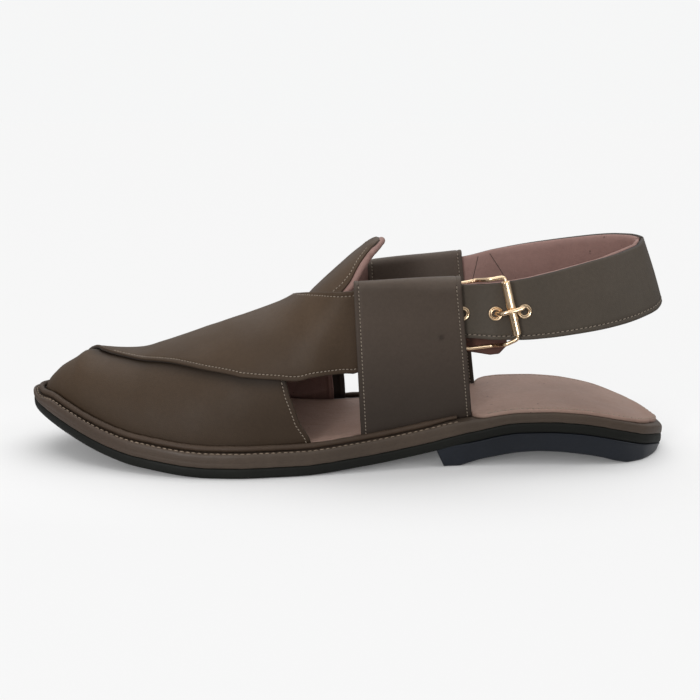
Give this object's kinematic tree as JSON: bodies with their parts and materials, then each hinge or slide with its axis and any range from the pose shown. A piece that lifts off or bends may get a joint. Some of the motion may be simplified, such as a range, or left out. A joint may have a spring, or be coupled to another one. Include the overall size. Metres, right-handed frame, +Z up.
{
  "type": "sandal",
  "caption": "Left peshawari chappal with crossed upper straps, side loops, a standing tongue, a buckled heel strap and a stacked sole with toe spring and heel.",
  "frame": {"origin": "floor level under the flat spot at the back of the heel, on the shoe's long axis", "axes": "+X from toe to heel, +Z up, -Y the lateral side, +Y the medial side"},
  "size_m": [0.292, 0.0952, 0.0978],
  "materials": {
    "upper_leather": "matte oiled brown leather with fine grain",
    "lining_leather": "soft rosy brown lining leather",
    "sole_edge": "stained and burnished brown sole edge",
    "outsole_rubber": "near-black rubber",
    "heel_rubber": "dark semi-gloss heel rubber with slight scuffs",
    "brass": "polished pale brass"
  },
  "bodies": {
    "root": {"outsole": "outsole_rubber", "heel": "heel_rubber", "midsole": "sole_edge", "insole": "lining_leather", "bead": "upper_leather", "upper": "upper_leather", "tongue": "upper_leather", "lateral_loop": "upper_leather", "medial_loop": "upper_leather", "heel_strap": "upper_leather", "eyelet_rear": "brass", "eyelet_middle": "brass", "eyelet_front": "brass", "buckle_frame": "brass", "buckle_roller": "brass", "buckle_prong": "brass", "buckle_flap": "lining_leather"}
  },
  "joints": []
}
